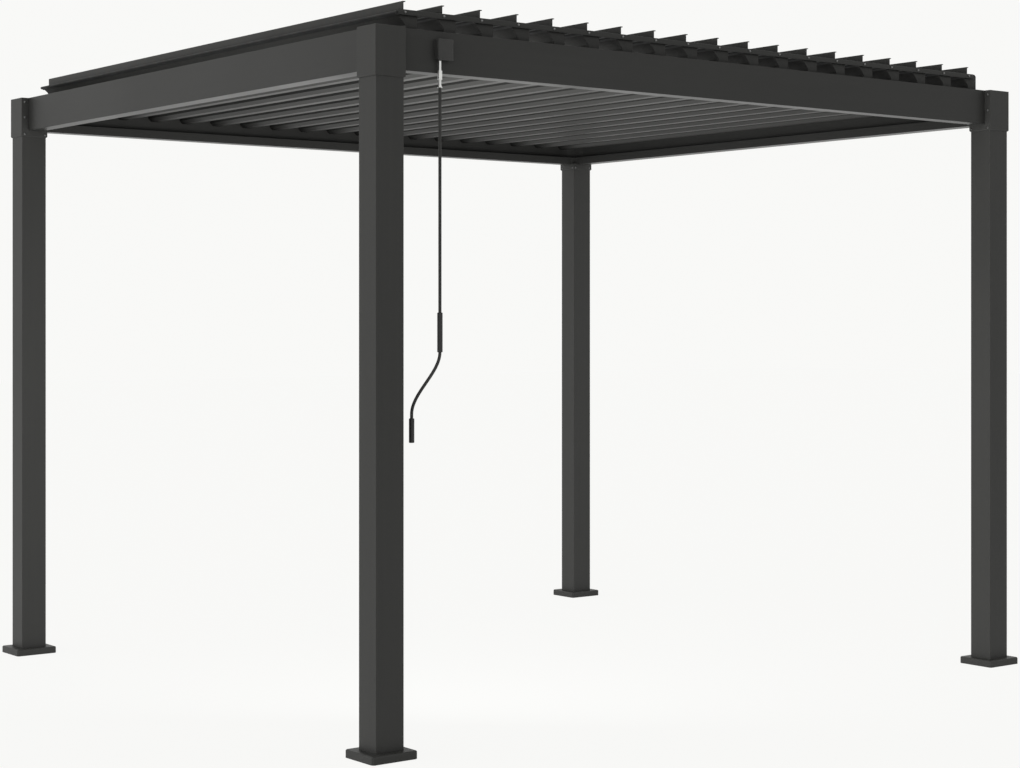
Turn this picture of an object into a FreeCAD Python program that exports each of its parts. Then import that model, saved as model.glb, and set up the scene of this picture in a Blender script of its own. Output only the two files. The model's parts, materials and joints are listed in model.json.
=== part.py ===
import FreeCAD, Part
import math
import os
import re

import Sketcher

# Louvred roof pergola on four posts, in millimetres.
# The origin is on the ground under the middle of the roof, and +Z is up.
# X runs along the front beam and Y from the front beam to the back beam.
# The louvres stand on edge, the way they are with the roof open.

os.makedirs("parts", exist_ok=True)
doc = FreeCAD.newDocument("pergola")
V = FreeCAD.Vector

# Driving sizes
SIZES = [
    ("frame_length", 2902, "over the posts along X"),
    ("frame_width", 2776, "over the posts along Y"),
    ("beam_underside", 2120, "headroom under the beams"),
    ("post_side", 100, "square post tube"),
    ("post_wall", 2, "wall of the post tube"),
    ("cover_side", 163, "square cover round the foot of a post"),
    ("cover_height", 26, "height of the foot cover"),
    ("cover_wall", 2.5, "wall of the foot cover"),
    ("cover_corner", 6, "cut upright corners of the foot cover"),
    ("cover_bevel", 3, "bevel round the top of the foot cover"),
    ("plate_side", 150, "square steel foot plate"),
    ("plate_thick", 8, "thickness of the foot plate"),
    ("anchor_spacing", 124, "distance between the anchor holes"),
    ("anchor_radius", 6, "radius of the anchor holes"),
    ("beam_height", 131, "height of the beam profile"),
    ("beam_width", 59, "width of the beam profile with its gutter"),
    ("beam_box", 26, "width of the hollow outer chamber of the beam"),
    ("beam_wall", 2, "wall of the beam profile"),
    ("lip_height", 34, "inner lip of the gutter"),
    ("beam_inset", 24, "beams behind the outer faces of the posts"),
    ("bracket_wall", 4.5, "wall of the corner bracket"),
    ("bracket_drop", 26, "corner bracket below the beams"),
    ("bracket_bevel", 3.5, "bevel round the foot of the corner bracket"),
    ("tongue_length", 40, "tongue of the bracket inside a beam"),
    ("tongue_height", 80, "height of that tongue"),
    ("first_pivot", 159, "left posts' outer face to the first louvre pivot"),
    ("last_pivot", 147, "right posts' outer face to the last louvre pivot"),
    ("louvre_setback", 55, "louvre ends behind the outer faces of the posts"),
    ("pivot_drop", 11, "louvre pivots below the top of the beams"),
    ("blade_below", 47, "open blade below its pivot"),
    ("blade_overlap", 2.8, "overlap of the closed blades"),
    ("blade_half", 25, "pivot to the flat side of the blade"),
    ("blade_back", 19, "pivot to the side with the side lip"),
    ("blade_wall", 1.5, "wall of the blade profile"),
    ("blade_corner", 7, "cut upper corner of the blade"),
    ("blade_bevel", 12, "bevel at the lower edge of the blade"),
    ("fin_height", 27, "thin edge that covers the next blade"),
    ("fin_thick", 2.5, "thickness of the thin edge"),
    ("fin_hook", 9.5, "width of the hooked end of the thin edge"),
    ("lip_out", 53, "pivot to the tip of the side lip, sideways"),
    ("lip_up", 61, "pivot to the tip of the side lip, upwards"),
    ("lip_root", 26, "pivot to the root of the side lip, upwards"),
    ("lip_thick", 3, "thickness of the side lip"),
    ("lip_arch", 3, "rise of the side lip's middle"),
    ("cap_thick", 3, "end cap of a louvre"),
    ("pivot_radius", 5, "pivot pin of a louvre"),
    ("pivot_length", 20, "pivot pin beyond the end cap"),
    ("link_radius", 3, "link pin's axis to its corners"),
    ("link_length", 12, "link pin beyond the end cap"),
    ("link_up", 64, "louvre pivot to the link pin, upwards"),
    ("bar_height", 17, "height of the link bar"),
    ("bar_thick", 4, "thickness of the link bar"),
    ("bar_end", 26, "link bar beyond its end pins"),
    ("bar_gap", 5, "link bar in front of the louvre ends"),
    ("pin_gap", 0.3, "radial clearance round the pins"),
    ("gear_width", 58, "gearbox along the beam"),
    ("gear_depth", 25, "gearbox in front of the beam"),
    ("gear_height", 66, "height of the gearbox"),
    ("gear_offset", 228, "left post's outer face to the gearbox"),
    ("gear_drop", 25, "gearbox below the top of the beam"),
    ("gear_round", 4, "rounded edges of the gearbox"),
    ("crank_side", 12, "crank axis from the side of the gearbox"),
    ("shank_radius", 4.5, "bright shank of the crank joint"),
    ("shank_length", 33, "shank below the gearbox"),
    ("shank_seat", 15, "shank inside the gearbox"),
    ("seat_gap", 3, "socket above the end of the shank"),
    ("collar_radius", 7.5, "thick part of the crank joint"),
    ("collar_length", 28, "length of the thick part"),
    ("neck_length", 16, "neck of the crank joint"),
    ("flare_radius", 8.5, "flared end of the crank joint"),
    ("flare_length", 9, "length of the flared end"),
    ("rod_radius", 5, "crank rod"),
    ("rod_length", 702, "crank rod from the joint to the upper grip"),
    ("crank_throw", 90, "sideways step of the crank"),
    ("crank_step", 205, "height of the step between the grips"),
    ("crank_bend", 80, "bend radius of the step"),
    ("grip_radius", 8.5, "crank grips"),
    ("grip_gap", 0.1, "grips round the crank rod"),
    ("upper_grip", 124, "length of the upper grip"),
    ("lower_grip", 76, "length of the lower grip"),
]
LOUVRES = 19
CRANK_TURN = -20

# Sides of the pins that repeat along the roof without a round face
LINK_PIN_SIDES = 4
BACK_PIN_SIDES = 8

# How close an edge has to be to a place to be picked there
NEAR = 0.1

# Formulas used by several pieces
PITCH = f"((frame_length - first_pivot - last_pivot) / {LOUVRES - 1})"
BEAM_TOP = "(beam_underside + beam_height)"
PIVOT_Z = f"({BEAM_TOP} - pivot_drop)"
LOUVRE_LENGTH = "(frame_width - 2 * louvre_setback)"
FIN_TOP = f"({PITCH} + blade_overlap - blade_below)"
BOX_TOP = f"({FIN_TOP} - fin_height)"
BEAM_END = "(post_side + bracket_wall)"
GEAR_BOTTOM = f"({BEAM_TOP} - gear_drop - gear_height)"
CRANK_X = "(0 - frame_length / 2 + gear_offset + crank_side)"
CRANK_Y = "(0 - frame_width / 2 + beam_inset - gear_depth / 2)"
JOINT_LENGTH = "(shank_length + collar_length + neck_length + flare_length)"
ROD_TOP = f"({GEAR_BOTTOM} - {JOINT_LENGTH})"
LINK_X = "(0 - blade_half)"
LINK_HOLE = "(link_radius + pin_gap)"

sheet = doc.addObject("Spreadsheet::Sheet", "Sizes")
for row, (alias, value, note) in enumerate(SIZES, start=1):
    sheet.set(f"A{row}", alias)
    sheet.set(f"B{row}", str(value))
    sheet.set(f"C{row}", note)
    sheet.setAlias(f"B{row}", alias)
doc.recompute()

SIZE_NAME = re.compile(r"[a-z]+_[a-z]+")


def cells(formula):
    """The formula with its size names pointed at the sheet."""
    return SIZE_NAME.sub(lambda found: "Sizes." + found.group(), formula)


def number(formula):
    """The present value of a formula, used to draw a sketch before it is solved."""
    plain = SIZE_NAME.sub(lambda found: str(getattr(sheet, found.group())), formula)
    return FreeCAD.Units.parseQuantity(plain).Value


def new_body(name, x="0", y="0", z="0", turn=0):
    """An empty body at a bound place, turned about the upright axis."""
    body = doc.addObject("PartDesign::Body", name)
    body.Label = name
    body.Placement = FreeCAD.Placement(V(0, 0, 0), FreeCAD.Rotation(V(0, 0, 1), turn))
    body.setExpression("Placement.Base.x", cells(x))
    body.setExpression("Placement.Base.y", cells(y))
    body.setExpression("Placement.Base.z", cells(z))
    return body


def new_sketch(body, plane, offset="0"):
    """A sketch on one of the body's own planes, moved along the plane's normal."""
    sketch = body.newObject("Sketcher::SketchObject", body.Name + "_sketch")
    support = [part for part in body.Origin.OriginFeatures if part.Role == plane]
    sketch.AttachmentSupport = [(support[0], "")]
    sketch.MapMode = "FlatFace"
    sketch.setExpression("AttachmentOffset.Base.z", cells(offset))
    return sketch


def fix_point(sketch, geometry, end, x, y):
    """Dimension a point from the sketch origin with two bound distances."""
    for kind, formula in (("DistanceX", x), ("DistanceY", y)):
        rule = sketch.addConstraint(Sketcher.Constraint(kind, geometry, end, number(formula)))
        sketch.setExpression(f"Constraints[{rule}]", cells(formula))


def draw_outline(sketch, corners):
    """A closed outline through corners that are bound to the sheet."""
    places = [V(number(x), number(y), 0) for x, y in corners]
    count = len(places)
    lines = [Part.LineSegment(places[i], places[(i + 1) % count]) for i in range(count)]
    first = sketch.addGeometry(lines, False)[0]
    joins = [
        Sketcher.Constraint("Coincident", first + i, 2, first + (i + 1) % count, 1)
        for i in range(count)
    ]
    sketch.addConstraint(joins)
    for i, (x, y) in enumerate(corners):
        fix_point(sketch, first + i, 1, x, y)


def draw_rectangle(sketch, left, bottom, right, top):
    """A bound rectangle from its four sides."""
    draw_outline(sketch, [(left, bottom), (right, bottom), (right, top), (left, top)])


def draw_circle(sketch, x, y, radius):
    """A bound circle."""
    centre = V(number(x), number(y), 0)
    circle = sketch.addGeometry(Part.Circle(centre, V(0, 0, 1), number(radius)), False)
    fix_point(sketch, circle, 3, x, y)
    rule = sketch.addConstraint(Sketcher.Constraint("Radius", circle, number(radius)))
    sketch.setExpression(f"Constraints[{rule}]", cells(radius))


def draw_cut_square(sketch, half, cut):
    """A bound square about the origin with its four corners cut off."""
    side = f"({half} - {cut})"
    draw_outline(sketch, [
        (half, f"0 - {side}"),
        (half, side),
        (side, half),
        (f"0 - {side}", half),
        (f"0 - {half}", side),
        (f"0 - {half}", f"0 - {side}"),
        (f"0 - {side}", f"0 - {half}"),
        (side, f"0 - {half}"),
    ])


def moved(place, reach, share):
    """A place moved by a share of a reach, which may be negative."""
    sign = "-" if share < 0 else "+"
    return f"{place} {sign} {reach} * {abs(share):.6f}"


def draw_pin(sketch, x, y, reach, sides):
    """A bound regular outline for a pin with flat sides and a corner to the right."""
    turns = [2 * math.pi * i / sides for i in range(sides)]
    corners = [(moved(x, reach, math.cos(a)), moved(y, reach, math.sin(a))) for a in turns]
    draw_outline(sketch, corners)


def pad(body, sketch, length, back=False):
    """Extrude a sketch along its normal, or against it."""
    feature = body.newObject("PartDesign::Pad", body.Name + "_pad")
    feature.Profile = sketch
    feature.setExpression("Length", cells(length))
    feature.Reversed = back
    sketch.Visibility = False
    return feature


def pocket(body, sketch, depth, back=False):
    """Cut a sketch out of the body, and make sure that it did cut."""
    doc.recompute()
    before = body.Shape.Volume
    feature = body.newObject("PartDesign::Pocket", body.Name + "_pocket")
    feature.Profile = sketch
    feature.setExpression("Length", cells(depth))
    feature.Reversed = back
    doc.recompute()
    if body.Shape.Volume > before - 1:
        raise RuntimeError(f"{feature.Name} cuts nothing")
    return feature


def repeat(body, feature, axis, length, count):
    """Repeat a feature evenly along one of the body's own axes."""
    row = body.newObject("PartDesign::LinearPattern", body.Name + "_row")
    row.Originals = [feature]
    line = [part for part in body.Origin.OriginFeatures if part.Role == axis]
    row.Direction = (line[0], [""])
    row.setExpression("Length", cells(length))
    row.Occurrences = count
    body.Tip = row
    return row


def round_edges(body, wanted, radius, kind="PartDesign::Fillet"):
    """Fillet or chamfer the edges of the body that a test picks."""
    doc.recompute()
    base = body.Tip
    names = [f"Edge{i}" for i, edge in enumerate(base.Shape.Edges, start=1) if wanted(edge)]
    feature = body.newObject(kind, body.Name + "_edges")
    feature.Base = (base, names)
    size = "Radius" if kind.endswith("Fillet") else "Size"
    feature.setExpression(size, cells(radius))
    return feature


nodes = []

# Posts, foot plates, foot covers and corner brackets.
# Each corner is the front left one turned about the upright axis.
CORNERS = [
    ("front_left", -1, -1, 0),
    ("front_right", 1, -1, 90),
    ("back_right", 1, 1, 180),
    ("back_left", -1, 1, 270),
]
for corner, side_x, side_y, turn in CORNERS:
    x = f"{side_x} * (frame_length - post_side) / 2"
    y = f"{side_y} * (frame_width - post_side) / 2"
    half = "post_side / 2"

    # A square tube from the foot plate up to the underside of the beams.
    post = new_body("post_" + corner, x, y, "plate_thick", turn)
    section = new_sketch(post, "XY_Plane")
    draw_rectangle(section, f"0 - {half}", f"0 - {half}", half, half)
    inner = "(post_side / 2 - post_wall)"
    draw_rectangle(section, f"0 - {inner}", f"0 - {inner}", inner, inner)
    pad(post, section, "beam_underside - plate_thick")
    nodes.append(post)

    # The steel foot plate with its four anchor holes.
    plate = new_body("foot_plate_" + corner, x, y, "0", turn)
    section = new_sketch(plate, "XY_Plane")
    edge = "plate_side / 2"
    draw_rectangle(section, f"0 - {edge}", f"0 - {edge}", edge, edge)
    for hole_x in (-1, 1):
        for hole_y in (-1, 1):
            place = f"{hole_x} * anchor_spacing / 2", f"{hole_y} * anchor_spacing / 2"
            draw_circle(section, *place, "anchor_radius")
    pad(plate, section, "plate_thick")
    nodes.append(plate)

    # The cover is a thin square hood that fits close round the post.
    cover = new_body("foot_cover_" + corner, x, y, "0", turn)
    section = new_sketch(cover, "XY_Plane")
    draw_cut_square(section, "(cover_side / 2)", "cover_corner")
    draw_rectangle(section, f"0 - {half}", f"0 - {half}", half, half)
    pad(cover, section, "cover_height")
    hole_reach = number("post_side / 2")
    top = number("cover_height")

    def on_rim(line):
        middle = line.BoundBox.Center
        outside = max(abs(middle.x), abs(middle.y)) > hole_reach + NEAR
        return outside and abs(middle.z - top) < NEAR

    round_edges(cover, on_rim, "cover_bevel", "PartDesign::Chamfer")
    doc.recompute()
    section = new_sketch(cover, "XY_Plane")
    draw_cut_square(section, "(cover_side / 2 - cover_wall)", "cover_corner")
    pocket(cover, section, "cover_height - cover_wall", back=True)
    nodes.append(cover)

    # The bracket holds the post by a sleeve round its top. Above it an
    # L-shaped hollow block carries on the chambers of both beams, and a
    # floor with a lip carries on their gutters, so the corner is open on
    # the inside and the last louvre can turn down into it.
    bracket = new_body("corner_bracket_" + corner, x, y, "beam_underside - bracket_drop", turn)
    section = new_sketch(bracket, "XY_Plane")
    edge = "(post_side / 2 + bracket_wall)"
    draw_rectangle(section, f"0 - {edge}", f"0 - {edge}", edge, edge)
    draw_rectangle(section, f"0 - {half}", f"0 - {half}", half, half)
    pad(bracket, section, "bracket_drop")
    sleeve = number(edge)

    def on_foot(line):
        middle = line.BoundBox.Center
        return max(abs(middle.x), abs(middle.y)) > sleeve - NEAR and middle.z < NEAR

    round_edges(bracket, on_foot, "bracket_bevel", "PartDesign::Chamfer")
    doc.recompute()
    block = "(beam_inset + beam_box - post_side / 2)"
    ell = [
        (f"0 - {edge}", f"0 - {edge}"),
        (edge, f"0 - {edge}"),
        (edge, block),
        (block, block),
        (block, edge),
        (f"0 - {edge}", edge),
    ]
    core = f"({block} - bracket_wall)"
    section = new_sketch(bracket, "XY_Plane", "bracket_drop")
    draw_outline(section, ell)
    draw_outline(section, [
        (f"0 - {half}", f"0 - {half}"),
        (half, f"0 - {half}"),
        (half, core),
        (core, core),
        (core, half),
        (f"0 - {half}", half),
    ])
    pad(bracket, section, "beam_height - bracket_wall")
    section = new_sketch(bracket, "XY_Plane", "bracket_drop + beam_height - bracket_wall")
    draw_outline(section, ell)
    pad(bracket, section, "bracket_wall")
    section = new_sketch(bracket, "XY_Plane", "bracket_drop")
    draw_rectangle(section, core, core, edge, edge)
    pad(bracket, section, "bracket_wall")
    lip = "(beam_inset + beam_width - post_side / 2)"
    section = new_sketch(bracket, "XY_Plane", "bracket_drop")
    draw_outline(section, [
        (f"{lip} - beam_wall", f"{lip} - beam_wall"),
        (edge, f"{lip} - beam_wall"),
        (edge, lip),
        (lip, lip),
        (lip, edge),
        (f"{lip} - beam_wall", edge),
    ])
    pad(bracket, section, "lip_height")
    near = "(beam_inset + beam_wall - post_side / 2)"
    far = "(beam_inset + beam_box - beam_wall - post_side / 2)"
    low = "(bracket_drop + (beam_height - tongue_height) / 2)"
    high = "(bracket_drop + (beam_height + tongue_height) / 2)"
    section = new_sketch(bracket, "YZ_Plane", edge)
    draw_rectangle(section, near, low, far, high)
    pad(bracket, section, "tongue_length")
    section = new_sketch(bracket, "XZ_Plane", f"0 - {edge}")
    draw_rectangle(section, near, low, far, high)
    pad(bracket, section, "tongue_length", back=True)
    nodes.append(bracket)

# Beams: a hollow chamber on the outside and an open gutter on the inside.
# The profile lies in the body's own YZ plane, with +Y towards the inside.
LENGTH_X = f"(frame_length - 2 * {BEAM_END})"
LENGTH_Y = f"(frame_width - 2 * {BEAM_END})"
FACE_X = "(frame_length / 2 - beam_inset)"
FACE_Y = "(frame_width / 2 - beam_inset)"
BEAMS = [
    ("beam_front", f"0 - {LENGTH_X} / 2", f"0 - {FACE_Y}", 0, LENGTH_X, "first_pivot"),
    ("beam_back", f"{LENGTH_X} / 2", FACE_Y, 180, LENGTH_X, "last_pivot"),
    ("beam_right", FACE_X, f"0 - {LENGTH_Y} / 2", 90, LENGTH_Y, None),
    ("beam_left", f"0 - {FACE_X}", f"{LENGTH_Y} / 2", 270, LENGTH_Y, None),
]
CHAMBER_FAR = "(beam_box - beam_wall)"
CHAMBER_TOP = "(beam_height - beam_wall)"
for name, x, y, turn, length, first in BEAMS:
    beam = new_body(name, x, y, "beam_underside", turn)
    section = new_sketch(beam, "YZ_Plane")
    draw_outline(section, [
        ("0", "0"),
        ("beam_width", "0"),
        ("beam_width", "lip_height"),
        ("beam_width - beam_wall", "lip_height"),
        ("beam_width - beam_wall", "beam_wall"),
        ("beam_box", "beam_wall"),
        ("beam_box", "beam_height"),
        ("0", "beam_height"),
    ])
    draw_rectangle(section, "beam_wall", "beam_wall", CHAMBER_FAR, CHAMBER_TOP)
    pad(beam, section, length)
    if first:
        # One seat in the inner wall for each louvre's pivot pin. The seats
        # are square, which keeps a long row of them light.
        section = new_sketch(beam, "XZ_Plane", "0 - beam_box")
        middle = f"({first} - {BEAM_END})"
        level = "(beam_height - pivot_drop)"
        reach = "(pivot_radius + pin_gap)"
        left, right = f"{middle} - {reach}", f"{middle} + {reach}"
        draw_rectangle(section, left, f"{level} - {reach}", right, f"{level} + {reach}")
        seat = pocket(beam, section, "beam_wall", back=True)
        repeat(beam, seat, "X_Axis", f"{LOUVRES - 1} * {PITCH}", LOUVRES)
    nodes.append(beam)

# The first louvre, in its own frame with the pivot axis on the origin.
# It is a hollow blade on edge: a thin hooked edge at the top covers the
# next blade when the roof is closed, and a side lip leans out below it.
FIRST_X = "(0 - frame_length / 2 + first_pivot)"
louvre = new_body("louvre_01", FIRST_X, "0", PIVOT_Z)
FRONT = f"{LOUVRE_LENGTH} / 2"
BACK = f"0 - {LOUVRE_LENGTH} / 2"
FIN_LEFT = "(0 - blade_half - fin_thick)"
LIP_MIDDLE = "(0 - (blade_back + lip_out) / 2)"
LIP_RISE = "((lip_root + lip_up) / 2)"
blade = [
    (FIN_LEFT, BOX_TOP),
    (FIN_LEFT, FIN_TOP),
    (f"{FIN_LEFT} + fin_hook", FIN_TOP),
    (f"{FIN_LEFT} + fin_hook", f"{FIN_TOP} - fin_thick"),
    ("0 - blade_half", f"{FIN_TOP} - fin_thick"),
    ("0 - blade_half", BOX_TOP),
    ("blade_half - blade_corner", BOX_TOP),
    ("blade_half", f"{BOX_TOP} - blade_corner"),
    ("blade_half", "0 - blade_below"),
    ("0 - blade_back + blade_bevel", "0 - blade_below"),
    ("0 - blade_back", "0 - blade_below + blade_bevel"),
    ("0 - blade_back", "lip_root"),
    (LIP_MIDDLE, f"{LIP_RISE} + lip_arch"),
    ("0 - lip_out", "lip_up - lip_thick / 2"),
    ("0 - lip_out", "lip_up + lip_thick / 2"),
    (LIP_MIDDLE, f"{LIP_RISE} + lip_arch + lip_thick"),
    ("0 - blade_back", "lip_root + lip_thick"),
    ("0 - blade_back", f"{BOX_TOP} - fin_thick"),
    (FIN_LEFT, f"{BOX_TOP} - fin_thick"),
]
section = new_sketch(louvre, "XZ_Plane", FRONT)
draw_outline(section, blade)
inner_right = "(blade_half - blade_wall)"
inner_left = "(0 - blade_back + blade_wall)"
draw_outline(section, [
    (inner_left, "0 - blade_below + blade_bevel + blade_wall / 2"),
    (f"{inner_left} + blade_bevel - blade_wall / 2", "0 - blade_below + blade_wall"),
    (inner_right, "0 - blade_below + blade_wall"),
    (inner_right, f"{BOX_TOP} - blade_corner - blade_wall / 2"),
    (f"{inner_right} - blade_corner + blade_wall / 2", f"{BOX_TOP} - blade_wall"),
    (inner_left, f"{BOX_TOP} - blade_wall"),
])
pad(louvre, section, LOUVRE_LENGTH, back=True)

# The end caps close the hollow and fill the corner behind the side lip.
cap = [
    (FIN_LEFT, BOX_TOP),
    ("blade_half - blade_corner", BOX_TOP),
    ("blade_half", f"{BOX_TOP} - blade_corner"),
    ("blade_half", "0 - blade_below"),
    ("0 - blade_back + blade_bevel", "0 - blade_below"),
    ("0 - blade_back", "0 - blade_below + blade_bevel"),
    ("0 - blade_back", "lip_root"),
    (LIP_MIDDLE, f"{LIP_RISE} + lip_arch"),
    ("0 - lip_out", "lip_up - lip_thick / 2"),
    ("0 - lip_out", "lip_up + lip_thick / 2"),
    (FIN_LEFT, f"{BOX_TOP} - fin_thick"),
]
for plane, inwards in ((FRONT, True), (BACK, False)):
    section = new_sketch(louvre, "XZ_Plane", plane)
    draw_outline(section, cap)
    pad(louvre, section, "cap_thick", back=inwards)

# Both ends carry a pivot pin, round at the front and eight-sided at the
# back, and the front end also has the link pin.
section = new_sketch(louvre, "XZ_Plane", FRONT)
draw_circle(section, "0", "0", "pivot_radius")
pad(louvre, section, "pivot_length")
section = new_sketch(louvre, "XZ_Plane", BACK)
draw_pin(section, "0", "0", "pivot_radius", BACK_PIN_SIDES)
pad(louvre, section, "pivot_length", back=True)
section = new_sketch(louvre, "XZ_Plane", FRONT)
draw_pin(section, LINK_X, "link_up", "link_radius", LINK_PIN_SIDES)
pad(louvre, section, "link_length")

doc.recompute()
nodes.append(louvre)

# The other louvres are the same, one pitch apart.
for i in range(1, LOUVRES):
    other = new_body(f"louvre_{i + 1:02d}", f"{FIRST_X} + {i} * {PITCH}", "0", PIVOT_Z)
    other.BaseFeature = louvre
    nodes.append(other)

# The link bar joins the louvres in front of their ends. It turns on the
# first louvre's pin in a round hole, and its other holes are square.
bar = new_body(
    "link_bar",
    f"0 - frame_length / 2 + first_pivot + {LINK_X}",
    "0 - frame_width / 2 + louvre_setback - bar_gap",
    f"{PIVOT_Z} + link_up",
)
section = new_sketch(bar, "XZ_Plane")
span = f"({LOUVRES - 1} * {PITCH})"
draw_rectangle(section, "0 - bar_end", "0 - bar_height / 2", f"{span} + bar_end", "bar_height / 2")
pad(bar, section, "bar_thick")
section = new_sketch(bar, "XZ_Plane")
draw_circle(section, "0", "0", LINK_HOLE)
pocket(bar, section, "bar_thick", back=True)
section = new_sketch(bar, "XZ_Plane")
left, right = f"{PITCH} - {LINK_HOLE}", f"{PITCH} + {LINK_HOLE}"
draw_rectangle(section, left, f"0 - {LINK_HOLE}", right, LINK_HOLE)
second = pocket(bar, section, "bar_thick", back=True)
repeat(bar, second, "X_Axis", f"({span} - {PITCH})", LOUVRES - 1)
nodes.append(bar)

# The gearbox on the front beam, with a socket for the crank below.
gear = new_body(
    "gearbox",
    "0 - frame_length / 2 + gear_offset",
    "0 - frame_width / 2 + beam_inset",
    GEAR_BOTTOM,
)
section = new_sketch(gear, "XY_Plane")
draw_rectangle(section, "0", "0 - gear_depth", "gear_width", "0")
pad(gear, section, "gear_height")
depth = number("gear_depth")


def on_front(line):
    return abs(line.BoundBox.Center.y + depth) < NEAR


round_edges(gear, on_front, "gear_round")
doc.recompute()
section = new_sketch(gear, "XY_Plane")
draw_circle(section, "crank_side", "0 - gear_depth / 2", "shank_radius + pin_gap")
pocket(gear, section, "shank_seat + seat_gap", back=True)
nodes.append(gear)

# The crank joint is turned from one bar: shank, collar, neck and flare.
joint = new_body("crank_joint", CRANK_X, CRANK_Y, GEAR_BOTTOM)
section = new_sketch(joint, "XZ_Plane")
draw_outline(section, [
    ("0", "shank_seat"),
    ("shank_radius", "shank_seat"),
    ("shank_radius", "0 - shank_length"),
    ("collar_radius", "0 - shank_length"),
    ("collar_radius", "0 - shank_length - collar_length"),
    ("shank_radius", "0 - shank_length - collar_length"),
    ("shank_radius", "0 - shank_length - collar_length - neck_length"),
    ("flare_radius", f"0 - {JOINT_LENGTH}"),
    ("0", f"0 - {JOINT_LENGTH}"),
])
turned = joint.newObject("PartDesign::Revolution", "crank_joint_turned")
turned.Profile = section
turned.ReferenceAxis = (section, ["V_Axis"])
turned.Angle = 360
nodes.append(joint)

# The crank rod runs down through the upper grip, steps sideways in two
# bends and ends in the lower grip.
rod = new_body("crank_rod", CRANK_X, CRANK_Y, ROD_TOP, CRANK_TURN)
step_top = "0 - rod_length - upper_grip"
step_foot = f"{step_top} - crank_step"
rod_foot = f"{step_foot} - lower_grip"
throw = number("crank_throw")
rise = number("crank_step")
bend = number("crank_bend")
reach = 2 * bend - throw
lean = math.atan2(rise, reach) - math.acos(2 * bend / math.hypot(rise, reach))
high = number(step_top)
low = number(step_foot)
run_top = V(-bend * (1 - math.cos(lean)), high - bend * math.sin(lean), 0)
run_foot = V(-throw + bend * (1 - math.cos(lean)), low + bend * math.sin(lean), 0)
upper = Part.Circle(V(-bend, high, 0), V(0, 0, 1), bend)
lower = Part.Circle(V(bend - throw, low, 0), V(0, 0, 1), bend)
path = new_sketch(rod, "XZ_Plane")
path.addGeometry([
    Part.LineSegment(V(0, 0, 0), V(0, high, 0)),
    Part.ArcOfCircle(upper, -lean, 0),
    Part.LineSegment(run_top, run_foot),
    Part.ArcOfCircle(lower, math.pi - lean, math.pi),
    Part.LineSegment(V(-throw, low, 0), V(-throw, number(rod_foot), 0)),
], False)
path.addConstraint([
    Sketcher.Constraint("Coincident", 0, 1, -1, 1),
    Sketcher.Constraint("Vertical", 0),
    Sketcher.Constraint("Tangent", 0, 2, 1, 2),
    Sketcher.Constraint("Tangent", 1, 1, 2, 1),
    Sketcher.Constraint("Tangent", 2, 2, 3, 1),
    Sketcher.Constraint("Tangent", 3, 2, 4, 1),
])


def bind(kind, place, formula):
    """Dimension one element of the crank's path."""
    rule = path.addConstraint(Sketcher.Constraint(kind, *place, number(formula)))
    path.setExpression(f"Constraints[{rule}]", cells(formula))


bind("DistanceY", (0, 2), step_top)
bind("Radius", (1,), "crank_bend")
bind("Radius", (3,), "crank_bend")
bind("DistanceX", (4, 1), "0 - crank_throw")
bind("DistanceY", (4, 1), step_foot)
bind("DistanceX", (4, 2), "0 - crank_throw")
bind("DistanceY", (4, 2), rod_foot)
section = new_sketch(rod, "XY_Plane")
draw_circle(section, "0", "0", "rod_radius")
swept = rod.newObject("PartDesign::AdditivePipe", "crank_rod_swept")
swept.Profile = section
swept.Spine = (path, [""])
nodes.append(rod)

# The grips are sleeves on the crank rod.
GRIPS = [
    ("grip_upper", "0", "upper_grip", f"{ROD_TOP} - rod_length - upper_grip"),
    ("grip_lower", "0 - crank_throw", "lower_grip",
     f"{ROD_TOP} - rod_length - upper_grip - crank_step - lower_grip"),
]
for name, x, length, z in GRIPS:
    grip = new_body(name, CRANK_X, CRANK_Y, z, CRANK_TURN)
    section = new_sketch(grip, "XY_Plane")
    draw_circle(section, x, "0", "grip_radius")
    draw_circle(section, x, "0", "rod_radius + grip_gap")
    pad(grip, section, length)
    nodes.append(grip)

doc.recompute()

# Check the document, then write each piece.
for thing in doc.Objects:
    if "Invalid" in thing.State or "Error" in thing.State:
        raise RuntimeError(f"{thing.Name} is {thing.State}")
for node in nodes:
    if node.Shape.isNull() or not node.Shape.isValid() or len(node.Shape.Solids) != 1:
        raise RuntimeError(f"{node.Label} is not one sound solid")
for node in nodes:
    node.Shape.exportStep(f"parts/{node.Label}.step")
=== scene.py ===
import json
import math

import bmesh
import bpy
from mathutils import Matrix, Vector


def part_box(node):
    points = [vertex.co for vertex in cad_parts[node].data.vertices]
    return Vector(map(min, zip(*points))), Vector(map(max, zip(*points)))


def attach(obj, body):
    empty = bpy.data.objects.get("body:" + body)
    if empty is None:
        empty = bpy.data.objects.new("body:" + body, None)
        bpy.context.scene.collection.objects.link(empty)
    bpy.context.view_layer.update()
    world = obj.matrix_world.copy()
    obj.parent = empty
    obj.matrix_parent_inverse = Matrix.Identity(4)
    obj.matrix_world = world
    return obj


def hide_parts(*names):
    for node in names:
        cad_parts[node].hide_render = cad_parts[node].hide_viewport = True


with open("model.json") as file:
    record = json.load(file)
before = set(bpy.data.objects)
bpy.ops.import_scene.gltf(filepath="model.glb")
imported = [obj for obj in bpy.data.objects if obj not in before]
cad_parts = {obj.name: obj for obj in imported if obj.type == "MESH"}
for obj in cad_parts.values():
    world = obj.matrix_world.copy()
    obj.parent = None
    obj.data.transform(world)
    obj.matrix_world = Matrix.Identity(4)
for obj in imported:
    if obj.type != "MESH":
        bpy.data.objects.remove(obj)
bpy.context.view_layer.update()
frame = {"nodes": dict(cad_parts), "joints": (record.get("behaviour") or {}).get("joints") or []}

# Louvred roof pergola in matt anthracite, on a plain pale floor.
# Everything is in metres. X runs along the front beam, Y from front to back.

MM = 0.001


# Places read from the frame

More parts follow.
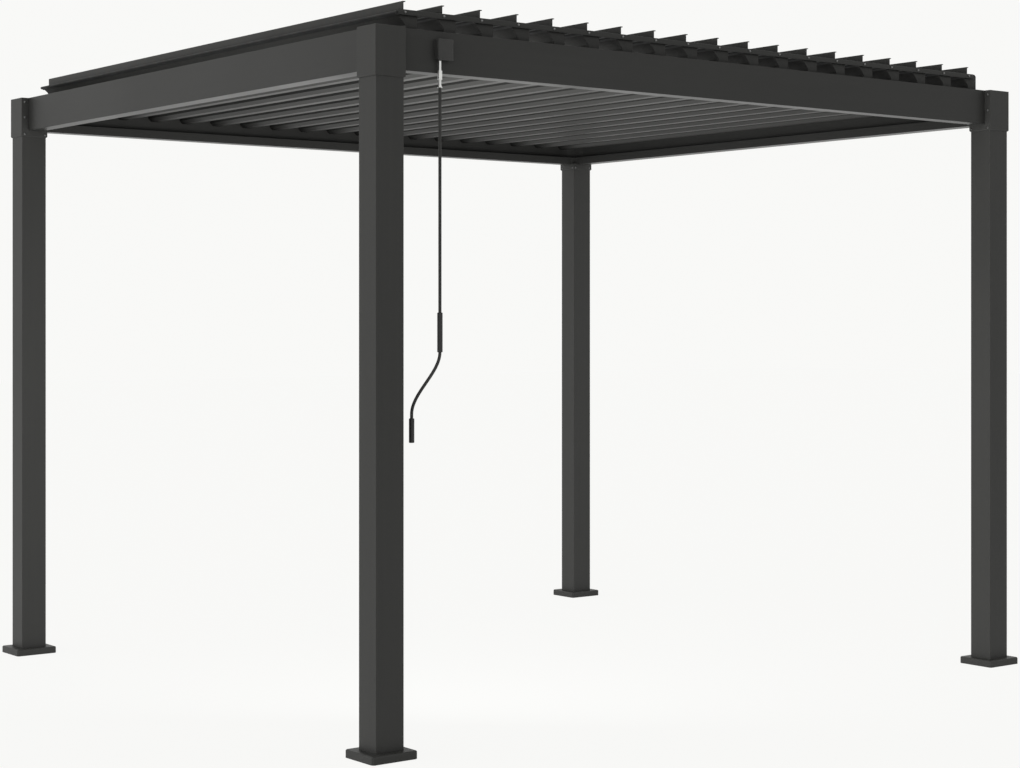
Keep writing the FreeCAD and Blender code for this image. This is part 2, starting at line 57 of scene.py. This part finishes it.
LOUVRE_NAMES = sorted(name for name in frame["nodes"] if name.startswith("louvre"))
JOINT_PLACE = {joint["child"]: Vector(joint["pos_m"]) for joint in frame["joints"]}

# Which side of the middle each corner is on, along X and along Y
CORNERS = {
    "front_left": (-1, -1),
    "front_right": (1, -1),
    "back_right": (1, 1),
    "back_left": (-1, 1),
}


def middle(node):
    """The middle of a node's box."""
    low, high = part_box(node)
    return (low + high) / 2


# Node trees

class Nodes:
    """A node tree with short calls for the nodes that the materials and the world share."""

    def __init__(self, tree):
        self.tree = tree

    def add(self, kind):
        """A new node of a kind, named without the words that all kinds start with."""
        return self.tree.nodes.new("ShaderNode" + kind)

    def link(self, source, target):
        self.tree.links.new(source, target)

    def between(self, source, low, high, start=0.3, end=0.7, easing="LINEAR"):
        """A number that runs from low to high as another number runs from start to end."""
        ranged = self.add("MapRange")
        ranged.interpolation_type = easing
        ranged.inputs["From Min"].default_value = start
        ranged.inputs["From Max"].default_value = end
        ranged.inputs["To Min"].default_value = low
        ranged.inputs["To Max"].default_value = high
        self.link(source, ranged.inputs["Value"])
        return ranged.outputs["Result"]

    def combine(self, operation, first, second):
        """Two numbers combined into one. The second may be plain."""
        node = self.add("Math")
        node.operation = operation
        self.link(first, node.inputs[0])
        if isinstance(second, float):
            node.inputs[1].default_value = second
        else:
            self.link(second, node.inputs[1])
        return node.outputs[0]

    def shown_rays(self):
        """One for a camera, glossy or transmission ray and zero for any other."""
        path = self.add("LightPath").outputs
        shown = self.combine("MAXIMUM", path["Is Camera Ray"], path["Is Glossy Ray"])
        return self.combine("MAXIMUM", shown, path["Is Transmission Ray"])

    def finish_with(self, output, factor, first, second):
        """Send the tree's output a mix of two shaders."""
        mix = self.add("MixShader")
        self.link(factor, mix.inputs[0])
        self.link(first, mix.inputs[1])
        self.link(second, mix.inputs[2])
        self.link(mix.outputs[0], self.tree.nodes[output].inputs["Surface"])


class Finish(Nodes):
    """A procedural material that is laid out in the object's own coordinates."""

    def __init__(self, name, roughness, metallic=0.0, specular=0.5):
        self.material = bpy.data.materials.new(name)
        self.material.use_nodes = True
        super().__init__(self.material.node_tree)
        self.shader = self.tree.nodes["Principled BSDF"]
        self.shader.inputs["Roughness"].default_value = roughness
        self.shader.inputs["Metallic"].default_value = metallic
        self.shader.inputs["Specular IOR Level"].default_value = specular
        self.place = self.add("TexCoord").outputs["Object"]

    def noise(self, scale, detail=2.0, stretch=(1, 1, 1)):
        """A noise of so many cells to the metre, finer along the axes with a larger stretch."""
        mapping = self.add("Mapping")
        mapping.inputs["Scale"].default_value = stretch
        self.link(self.place, mapping.inputs["Vector"])
        noise = self.add("TexNoise")
        noise.inputs["Scale"].default_value = scale
        noise.inputs["Detail"].default_value = detail
        self.link(mapping.outputs["Vector"], noise.inputs["Vector"])
        return noise.outputs["Fac"]

    def blend(self, factor, first, second):
        """A colour between two others. Each may be a colour or another node's output."""
        mix = self.add("Mix")
        mix.data_type = "RGBA"
        self.link(factor, mix.inputs["Factor"])
        for socket, value in ((mix.inputs[6], first), (mix.inputs[7], second)):
            if isinstance(value, tuple):
                socket.default_value = (*value, 1)
            else:
                self.link(value, socket)
        return mix.outputs[2]

    def painted_shade_openness(self, reach):
        """One in the open and zero far into a hollow of a size in metres, used to paint shade into
        hollows.
        """
        hollow = self.add("AmbientOcclusion")
        hollow.samples = 4
        hollow.inputs["Distance"].default_value = reach
        return self.between(hollow.outputs["AO"], 0, 1, start=0.4, end=0.75)

    def bump(self, height, depth, under=None):
        """Relief of a depth in metres, laid over another relief."""
        bump = self.add("Bump")
        bump.inputs["Distance"].default_value = depth
        bump.inputs["Strength"].default_value = 1
        self.link(height, bump.inputs["Height"])
        if under is not None:
            self.link(under, bump.inputs["Normal"])
        return bump.outputs["Normal"]

    def feed(self, name, output):
        """Link a node's output to an input of the shader."""
        self.link(output, self.shader.inputs[name])


# Materials

ANTHRACITE = (0.031, 0.031, 0.0296)
COAT_SPECULAR = 0.17
# How dark the painted shade in hollows makes a coat, as a share of its colour
PAINTED_SHADE_SHARE = 0.35

# Stretches of a noise: lines along one axis, an even grain, and rings about Z
ALONG_X = (0.02, 1, 1)
ALONG_Y = (1, 0.02, 1)
ALONG_Z = (1, 1, 0.02)
EVEN = (1, 1, 1)
ABOUT_Z = (1, 1, 6)


def tint(colour, share):
    """A colour made lighter or darker by a share."""
    return tuple(part * share for part in colour)


def powder_coat(name, colour, stretch, roughness=0.46, painted_shade_reach=0.0):
    """Matt powder coat on an extruded profile: a fine grain, faint drawing lines and soft clouds.
    With a reach, the coat gets painted shade in hollows of that size: a darker colour and a weaker
    reflection."""
    finish = Finish(name, roughness, specular=COAT_SPECULAR)
    clouds = finish.noise(2.2, detail=3)
    lines = finish.noise(55, stretch=stretch)
    grain = finish.noise(1400)
    shade = finish.blend(finish.between(clouds, 0, 1), tint(colour, 0.93), tint(colour, 1.07))
    shade = finish.blend(finish.between(lines, 0, 0.5), shade, tint(colour, 1.12))
    shade = finish.blend(finish.between(grain, 0, 0.35), shade, tint(colour, 1.35))
    # Painted shade: from ambient occlusion, the colour darkens and the reflection fades in hollows
    if painted_shade_reach:
        painted_shade_openness = finish.painted_shade_openness(painted_shade_reach)
        shade = finish.blend(painted_shade_openness, tint(colour, PAINTED_SHADE_SHARE), shade)
        specular = finish.between(painted_shade_openness, 0, COAT_SPECULAR, start=0, end=1)
        finish.feed("Specular IOR Level", specular)
    finish.feed("Base Color", shade)
    finish.feed("Roughness", finish.between(clouds, roughness - 0.03, roughness + 0.04))
    relief = finish.bump(lines, 0.04 * MM)
    finish.feed("Normal", finish.bump(grain, 0.06 * MM, under=relief))
    return finish.material


def plain_plastic(name, colour, roughness, scale):
    """Moulded plastic with a fine eroded skin."""
    finish = Finish(name, roughness, specular=0.35)
    skin = finish.noise(scale, detail=3)
    clouds = finish.noise(14)
    shade = finish.blend(finish.between(clouds, 0, 1), tint(colour, 0.9), tint(colour, 1.1))
    finish.feed("Base Color", finish.blend(finish.between(skin, 0, 0.3), shade, tint(colour, 1.5)))
    finish.feed("Roughness", finish.between(skin, roughness - 0.05, roughness + 0.07))
    finish.feed("Normal", finish.bump(skin, 0.08 * MM))
    return finish.material


def bare_steel(name, colour, roughness, stretch):
    """Bare steel with fine turning or rolling marks."""
    finish = Finish(name, roughness, metallic=1)
    marks = finish.noise(900, stretch=stretch)
    stains = finish.noise(40, detail=3)
    shade = finish.blend(finish.between(stains, 0, 1), tint(colour, 0.9), colour)
    finish.feed("Base Color", finish.blend(finish.between(marks, 0, 0.4), shade, tint(colour, 0.75)))
    finish.feed("Roughness", finish.between(stains, roughness - 0.05, roughness + 0.1))
    finish.feed("Normal", finish.bump(marks, 0.03 * MM))
    return finish.material


def rubber(name, colour):
    """Black sealing rubber, a little dusty, with fine lines along it."""
    finish = Finish(name, 0.62, specular=0.3)
    dust = finish.noise(25, detail=4)
    lines = finish.noise(500, stretch=ALONG_Y)
    shade = finish.blend(finish.between(dust, 0, 1), tint(colour, 0.8), tint(colour, 1.4))
    finish.feed("Base Color", shade)
    finish.feed("Roughness", finish.between(dust, 0.55, 0.72))
    finish.feed("Normal", finish.bump(lines, 0.1 * MM))
    return finish.material


BEAM_COLOUR = tint(ANTHRACITE, 0.78)
BEAM_ROUGHNESS = 0.39

MATERIALS = {
    "post_coat": powder_coat("post_coat", ANTHRACITE, ALONG_Z),
    "beam_coat_x": powder_coat("beam_coat_x", BEAM_COLOUR, ALONG_X, BEAM_ROUGHNESS),
    "beam_coat_y": powder_coat("beam_coat_y", BEAM_COLOUR, ALONG_Y, BEAM_ROUGHNESS),
    # The louvres' coat has painted shade in its hollows, reaching 130 mm
    "louvre_coat": powder_coat("louvre_coat", tint(ANTHRACITE, 0.88), ALONG_Y, 0.48, painted_shade_reach=130 * MM),
    "rod_coat": powder_coat("rod_coat", tint(ANTHRACITE, 0.9), ALONG_Z),
    "foot_steel": bare_steel("foot_steel", (0.42, 0.43, 0.44), 0.5, EVEN),
    "joint_steel": bare_steel("joint_steel", (0.74, 0.74, 0.73), 0.34, ABOUT_Z),
    "screw_steel": bare_steel("screw_steel", (0.22, 0.22, 0.22), 0.42, EVEN),
    "gear_plastic": plain_plastic("gear_plastic", tint(ANTHRACITE, 0.72), 0.5, 900),
    "grip_plastic": plain_plastic("grip_plastic", (0.016, 0.016, 0.016), 0.45, 700),
    "seal_rubber": rubber("seal_rubber", (0.008, 0.008, 0.008)),
}


# Finishes and softened edges of the carried-over nodes, by the start of a node's name

NODE_FINISHES = {
    "post": "post_coat",
    "foot_cover": "post_coat",
    "foot_plate": "foot_steel",
    "corner_bracket": "post_coat",
    "beam_front": "beam_coat_x",
    "beam_back": "beam_coat_x",
    "beam_left": "beam_coat_y",
    "beam_right": "beam_coat_y",
    "louvre": "louvre_coat",
    "link_bar": "beam_coat_x",
    "gearbox": "gear_plastic",
    "crank_joint": "joint_steel",
    "crank_rod": "rod_coat",
    "grip": "grip_plastic",
}

EDGES = {
    "post": 2.2 * MM,
    "foot_cover": 1.2 * MM,
    "corner_bracket": 0.9 * MM,
    "beam": 0.8 * MM,
    "louvre": 0.5 * MM,
    "link_bar": 0.6 * MM,
    "crank_joint": 0.8 * MM,
    "grip": 2.0 * MM,
}

SHARP_ANGLE = math.radians(35)
WELD_REACH = 0.01 * MM
BEVEL_STEPS = 2
LARGE_FACE_WEIGHT = 80


def by_start(table, name):
    """What a table gives for the start of a name, or nothing."""
    return next((value for start, value in table.items() if name.startswith(start)), None)


def soften(node, width):
    """Weld the node's faces, round its sharp edges and shade it by its large faces."""
    weld = node.modifiers.new("weld", "WELD")
    weld.merge_threshold = WELD_REACH
    bevel = node.modifiers.new("bevel", "BEVEL")
    bevel.width = width
    bevel.segments = BEVEL_STEPS
    bevel.limit_method = "ANGLE"
    bevel.angle_limit = SHARP_ANGLE
    shading = node.modifiers.new("shading", "WEIGHTED_NORMAL")
    shading.mode = "FACE_AREA_WITH_ANGLE"
    shading.weight = LARGE_FACE_WEIGHT


for name, node in frame["nodes"].items():
    node.data.materials.clear()
    node.data.materials.append(MATERIALS[by_start(NODE_FINISHES, name)])
    edge_width = by_start(EDGES, name)
    if edge_width:
        soften(node, edge_width)


# Mesh helpers

def finish_piece(mesh, name, material, body, sharp=SHARP_ANGLE):
    """Turn a bmesh into a piece that rides on a body."""
    bmesh.ops.recalc_face_normals(mesh, faces=mesh.faces)
    data = bpy.data.meshes.new(name)
    mesh.to_mesh(data)
    mesh.free()
    piece = bpy.data.objects.new(name, data)
    bpy.context.scene.collection.objects.link(piece)
    data.materials.append(MATERIALS[material])
    data.shade_smooth()
    data.set_sharp_from_angle(angle=sharp)
    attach(piece, body)
    return piece


def facing(place, direction):
    """A matrix that puts local Z along a direction at a place."""
    turn = Vector(direction).to_track_quat("Z", "Y").to_matrix().to_4x4()
    return Matrix.Translation(place) @ turn


def add_turned(mesh, profile, sides, place):
    """Add a turned form about the local Z axis. Each profile row is a height, a radius
    and, where the ring is a hexagon, the word hex. A radius of 0 closes the form."""
    rings = []
    for height, radius, *shape in profile:
        if radius == 0:
            rings.append([mesh.verts.new(place @ Vector((0, 0, height)))])
            continue
        ring = []
        for i in range(sides):
            angle = 2 * math.pi * i / sides
            reach = radius
            if shape:
                reach *= math.cos(math.pi / 6) / math.cos(angle % (math.pi / 3) - math.pi / 6)
            point = Vector((reach * math.cos(angle), reach * math.sin(angle), height))
            ring.append(mesh.verts.new(place @ point))
        rings.append(ring)
    for lower, upper in zip(rings, rings[1:]):
        for i in range(sides):
            j = (i + 1) % sides
            if len(lower) == 1:
                mesh.faces.new((lower[0], upper[j], upper[i]))
            elif len(upper) == 1:
                mesh.faces.new((lower[i], lower[j], upper[0]))
            else:
                mesh.faces.new((lower[i], lower[j], upper[j], upper[i]))


def skinned(outlines):
    """A mesh whose skin runs over outlines of equally many points and closes at both ends."""
    mesh = bmesh.new()
    rings = [[mesh.verts.new(point) for point in outline] for outline in outlines]
    for lower, upper in zip(rings, rings[1:]):
        for i in range(len(lower)):
            j = (i + 1) % len(lower)
            mesh.faces.new((lower[i], lower[j], upper[j], upper[i]))
    mesh.faces.new(rings[0])
    mesh.faces.new(rings[-1])
    return mesh


# Screws of the corner brackets, on the faces that meet the beams

SCREW_HEAD = [
    (-0.3 * MM, 0),
    (-0.3 * MM, 4.2 * MM),
    (0.9 * MM, 4.2 * MM),
    (1.9 * MM, 3.4 * MM),
    (2.4 * MM, 2.2 * MM, "hex"),
    (0.9 * MM, 2.0 * MM, "hex"),
    (0.9 * MM, 0),
]
SCREW_SIDES = 24

# Each screw's way outwards from the post's middle and down from the bracket's top
SCREW_SPOTS = [
    (41 * MM, 17.5 * MM),
    (41 * MM, 79.2 * MM),
    (41 * MM, 146.5 * MM),
    (-44.5 * MM, 146.5 * MM),
]

# From a post's middle to the faces of its bracket that meet the beams
BRACKET_REACH = 54.5 * MM


def bracket_screws(corner, side_x, side_y):
    """The screws of one bracket, on both of the faces that a beam meets."""
    bracket = "corner_bracket_" + corner
    post = middle("post_" + corner)
    top = Vector((post.x, post.y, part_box(bracket)[1].z))
    to_x = Vector((side_x, 0, 0))
    to_y = Vector((0, side_y, 0))
    mesh = bmesh.new()
    for inwards, outwards in ((-to_x, to_y), (-to_y, to_x)):
        for offset, drop in SCREW_SPOTS:
            place = top + inwards * BRACKET_REACH + outwards * offset - Vector((0, 0, drop))
            add_turned(mesh, SCREW_HEAD, SCREW_SIDES, facing(place, inwards))
    finish_piece(mesh, bracket + "_screws", "screw_steel", "frame")


for corner, (side_x, side_y) in CORNERS.items():
    bracket_screws(corner, side_x, side_y)


# Cap nuts on the link pins, in front of the link bar

CAP_NUT = [
    (0, 0),
    (0, 4.2 * MM),
    (0.5 * MM, 4.2 * MM),
    (0.5 * MM, 3.9 * MM, "hex"),
    (2.7 * MM, 3.9 * MM, "hex"),
    (3.1 * MM, 3.1 * MM),
    (4.3 * MM, 2.6 * MM),
    (5.1 * MM, 1.4 * MM),
    (5.3 * MM, 0),
]
NUT_SIDES = 24
NUT_GAP = 0.2 * MM


def cap_nut(louvre):
    """The nut on the link pin of one louvre."""
    pin = JOINT_PLACE["link_bar"]
    shift = JOINT_PLACE[louvre].x - JOINT_PLACE["louvre_01"].x
    place = Vector((pin.x + shift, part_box("link_bar")[0].y - NUT_GAP, pin.z))
    mesh = bmesh.new()
    add_turned(mesh, CAP_NUT, NUT_SIDES, facing(place, (0, -1, 0)))
    finish_piece(mesh, louvre + "_link_nut", "screw_steel", louvre)


# Rubber seals, pushed onto the tips of the side lips

# The lip's tip from the louvre's pivot, and the way the lip points there
LIP_TIP = Vector((-53 * MM, 0, 61 * MM))
LIP_WAY = Vector((-17, 0, 13)).normalized()

BULB_RADIUS = 5.2 * MM
BULB_AHEAD = 1.2 * MM
BULB_STEPS = 18
SLOT_HALF = 1.35 * MM
SLOT_END = 1.3 * MM
CLIP_HALF = 2.6 * MM
CLIP_BACK = -8.5 * MM

# How far a louvre's pivot pins reach past the ends of its seal
PIN_PAST_SEAL = 11.5 * MM


def seal_outline():
    """The seal's section, along the lip and across it: a round bulb and a clip with a slot."""
    start = math.pi - math.asin(CLIP_HALF / BULB_RADIUS)
    points = [(CLIP_BACK, CLIP_HALF)]
    for i in range(BULB_STEPS + 1):
        angle = start - 2 * start * i / BULB_STEPS
        points.append((BULB_AHEAD + BULB_RADIUS * math.cos(angle), BULB_RADIUS * math.sin(angle)))
    points += [
        (CLIP_BACK, -CLIP_HALF),
        (CLIP_BACK, -SLOT_HALF),
        (SLOT_END, -SLOT_HALF),
        (SLOT_END, SLOT_HALF),
        (CLIP_BACK, SLOT_HALF),
    ]
    return points


def seal(louvre):
    """The seal along one louvre."""
    pivot = JOINT_PLACE[louvre]
    tip = Vector((pivot.x, 0, pivot.z)) + LIP_TIP
    across = Vector((LIP_WAY.z, 0, -LIP_WAY.x))
    outline = [tip + LIP_WAY * along + across * over for along, over in seal_outline()]
    half = Vector((0, -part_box("louvre_01")[0].y - PIN_PAST_SEAL, 0))
    mesh = skinned([[point - half for point in outline], [point + half for point in outline]])
    finish_piece(mesh, louvre + "_seal", "seal_rubber", louvre)


for louvre in LOUVRE_NAMES:
    cap_nut(louvre)
    seal(louvre)


# Gearbox with rounded upright corners in front

GEAR_ROUND = 8 * MM
GEAR_CORNER_STEPS = 8

# The soft edge round its bottom and its top, as heights and insets
GEAR_EDGE = [(0, 2.2 * MM), (0.5 * MM, 1.1 * MM), (1.3 * MM, 0.4 * MM), (2.4 * MM, 0)]


def gearbox_outline(low, high, inset, height):
    """The gearbox's outline at a height, with its two front corners rounded."""
    points = [(high.x - inset, high.y, height), (low.x + inset, high.y, height)]
    reach = GEAR_ROUND - inset
    middle_y = low.y + GEAR_ROUND
    for middle_x, start in ((low.x + GEAR_ROUND, math.pi), (high.x - GEAR_ROUND, 1.5 * math.pi)):
        for i in range(GEAR_CORNER_STEPS + 1):
            angle = start + math.pi / 2 * i / GEAR_CORNER_STEPS
            x = middle_x + reach * math.cos(angle)
            y = middle_y + reach * math.sin(angle)
            points.append((x, y, height))
    return points


def gearbox_cover():
    """The gearbox's housing, in outlines from bottom to top."""
    low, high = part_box("gearbox")
    levels = [(low.z + rise, inset) for rise, inset in GEAR_EDGE]
    levels += [(high.z - rise, inset) for rise, inset in reversed(GEAR_EDGE)]
    mesh = skinned([gearbox_outline(low, high, inset, height) for height, inset in levels])
    piece = finish_piece(mesh, "gearbox_cover", "gear_plastic", "frame")
    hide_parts("gearbox")


gearbox_cover()


# Small parts of the crank, placed from the crank's axis and the gearbox's lower face

BUSH = [
    (0.5 * MM, 5.0 * MM),
    (-2.2 * MM, 5.0 * MM),
    (-2.2 * MM, 6.8 * MM),
    (-1.4 * MM, 7.6 * MM),
    (0.5 * MM, 7.6 * MM),
]
BUSH_SIDES = 32

JOINT_PIN = [
    (-7.9 * MM, 0),
    (-7.9 * MM, 1.7 * MM),
    (-7.6 * MM, 2.1 * MM),
    (7.6 * MM, 2.1 * MM),
    (7.9 * MM, 1.7 * MM),
    (7.9 * MM, 0),
]
JOINT_PIN_SIDES = 20
JOINT_PIN_DROP = 55 * MM
JOINT_PIN_WAY = (1, 0.35, 0)


def under_gearbox(drop):
    """A place on the crank's axis, so far below the gearbox."""
    joint = JOINT_PLACE["crank"]
    return Vector((joint.x, joint.y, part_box("gearbox")[0].z - drop))


def gearbox_bush():
    """The bush under the gearbox, round the shank of the crank joint."""
    mesh = bmesh.new()
    add_turned(mesh, BUSH, BUSH_SIDES, Matrix.Translation(under_gearbox(0)))
    finish_piece(mesh, "gearbox_bush", "grip_plastic", "frame")


def crank_joint_pin():
    """The cross pin through the collar of the crank joint."""
    mesh = bmesh.new()
    place = facing(under_gearbox(JOINT_PIN_DROP), JOINT_PIN_WAY)
    add_turned(mesh, JOINT_PIN, JOINT_PIN_SIDES, place)
    finish_piece(mesh, "crank_joint_pin", "screw_steel", "crank")


gearbox_bush()
crank_joint_pin()


# The crank's rod, with the long soft bends of the real one between its two grips

ROD_RADIUS = 5 * MM
ROD_STEPS = 28
ROD_SIDES = 20
ROD_SHARP = math.radians(50)

# The rod steps sideways this much faster than it comes down, so it is straight again
# a little before the lower grip
STEP_PACE = 1.07


def rod_axis():
    """The rod's axis from top to bottom: straight, over in a soft S, and straight again.
    With it comes the level way across the step."""
    low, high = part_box("crank_rod")
    upper = middle("grip_upper")
    lower = middle("grip_lower")
    bend_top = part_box("grip_upper")[0].z
    bend_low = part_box("grip_lower")[1].z
    shift = Vector((lower.x - upper.x, lower.y - upper.y, 0))
    points = [Vector((upper.x, upper.y, high.z))]
    for i in range(ROD_STEPS + 1):
        share = i / ROD_STEPS
        pace = min(1, share * STEP_PACE)
        eased = pace * pace * (3 - 2 * pace)
        height = bend_top + (bend_low - bend_top) * share
        points.append(Vector((upper.x, upper.y, height)) + shift * eased)
    points.append(Vector((lower.x, lower.y, low.z)))
    return points, Vector((-shift.y, shift.x, 0)).normalized()


def crank_tube():
    """The rod, swept along its axis."""
    points, across = rod_axis()
    outlines = []
    for i, point in enumerate(points):
        ahead = points[min(i + 1, len(points) - 1)] - points[max(i - 1, 0)]
        over = ahead.normalized().cross(across)
        outline = []
        for j in range(ROD_SIDES):
            angle = 2 * math.pi * j / ROD_SIDES
            outline.append(point + (across * math.cos(angle) + over * math.sin(angle)) * ROD_RADIUS)
        outlines.append(outline)
    mesh = skinned(outlines)
    piece = finish_piece(mesh, "crank_tube", "rod_coat", "crank", sharp=ROD_SHARP)
    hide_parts("crank_rod")


crank_tube()


# Floor

FLOOR_SIDE = 80
FLOOR_DROP = 0.5 * MM
FLOOR_COLOUR = (0.86, 0.86, 0.85, 1)
FLOOR_GLOW = (0.958, 0.958, 0.943, 1)
FLOOR_SHARE = 0.05


def floor_material():
    """A pale floor that shows as the background, with a share of its own shadow."""
    material = bpy.data.materials.new("floor")
    material.use_nodes = True
    nodes = Nodes(material.node_tree)
    shader = nodes.tree.nodes["Principled BSDF"]
    shader.inputs["Base Color"].default_value = FLOOR_COLOUR
    shader.inputs["Roughness"].default_value = 0.9
    glow = nodes.add("Emission")
    glow.inputs["Color"].default_value = FLOOR_GLOW
    share = nodes.combine("MULTIPLY", nodes.shown_rays(), 1 - FLOOR_SHARE)
    nodes.finish_with("Material Output", share, shader.outputs[0], glow.outputs[0])
    return material


def make_floor():
    """A square floor just below the feet."""
    mesh = bmesh.new()
    bmesh.ops.create_grid(mesh, x_segments=8, y_segments=8, size=FLOOR_SIDE / 2)
    data = bpy.data.meshes.new("floor")
    mesh.to_mesh(data)
    mesh.free()
    floor = bpy.data.objects.new("floor", data)
    floor.location.z = -FLOOR_DROP
    bpy.context.scene.collection.objects.link(floor)
    data.materials.append(floor_material())


# World and lamps

BACKGROUND = (0.945, 0.945, 0.93, 1)
SKY_COLOUR = (1, 1, 0.99, 1)

# The sky's strength near the horizon and overhead, and how many times stronger it is on the left
SKY_HORIZON = 0.84
SKY_OVERHEAD = 0.55
SKY_LEFT = 3.7


def make_world():
    """A white background. The sky that lights the object is brightest low on the left."""
    world = bpy.data.worlds.new("studio")
    bpy.context.scene.world = world
    world.use_nodes = True
    nodes = Nodes(world.node_tree)
    way = nodes.add("SeparateXYZ")
    nodes.link(nodes.add("TexCoord").outputs["Generated"], way.inputs[0])
    up = way.outputs["Z"]
    right = way.outputs["X"]
    height = nodes.between(up, SKY_HORIZON, SKY_OVERHEAD, start=0.05, end=0.45, easing="SMOOTHSTEP")
    side = nodes.between(right, SKY_LEFT, 1, start=-1, end=-0.45, easing="SMOOTHSTEP")
    sky = nodes.tree.nodes["Background"]
    sky.inputs["Color"].default_value = SKY_COLOUR
    nodes.link(nodes.combine("MULTIPLY", height, side), sky.inputs["Strength"])
    plain = nodes.add("Background")
    plain.inputs["Color"].default_value = BACKGROUND
    nodes.finish_with("World Output", nodes.shown_rays(), sky.outputs[0], plain.outputs[0])


def make_lamp(name, place, target, size, power):
    """A soft rectangular lamp that points at a target and doesn't show."""
    data = bpy.data.lights.new(name, "AREA")
    data.shape = "RECTANGLE"
    data.size, data.size_y = size
    data.energy = power
    lamp = bpy.data.objects.new(name, data)
    lamp.location = place
    aim = Vector(target) - Vector(place)
    lamp.rotation_euler = aim.to_track_quat("-Z", "Y").to_euler()
    lamp.visible_camera = False
    lamp.visible_glossy = False
    bpy.context.scene.collection.objects.link(lamp)


make_floor()
make_world()
make_lamp("inner_lamp", place=(-1.15, -1.15, 1.15), target=(1, 1, 1.75), size=(1, 1.2), power=50)
make_lamp("floor_lamp", place=(0, 0, 3 * MM), target=(0, 0, 2), size=(14, 14), power=120)


# Camera, fitted to the photograph

CAMERA_PLACE = (-4.818, -6.787, 1.335)
CAMERA_TURN = math.radians(-39.644)
FOCAL_LENGTH = 73.115
SENSOR_WIDTH = 36
CAMERA_SHIFT = (-0.1431, -0.0584)


def make_camera():
    """A level camera with a shifted lens."""
    data = bpy.data.cameras.new("camera")
    data.sensor_width = SENSOR_WIDTH
    data.lens = FOCAL_LENGTH
    data.shift_x, data.shift_y = CAMERA_SHIFT
    camera = bpy.data.objects.new("camera", data)
    camera.location = CAMERA_PLACE
    camera.rotation_euler = (math.radians(90), 0, CAMERA_TURN)
    bpy.context.scene.collection.objects.link(camera)
    bpy.context.scene.camera = camera


make_camera()
bpy.context.scene.view_settings.view_transform = "Standard"
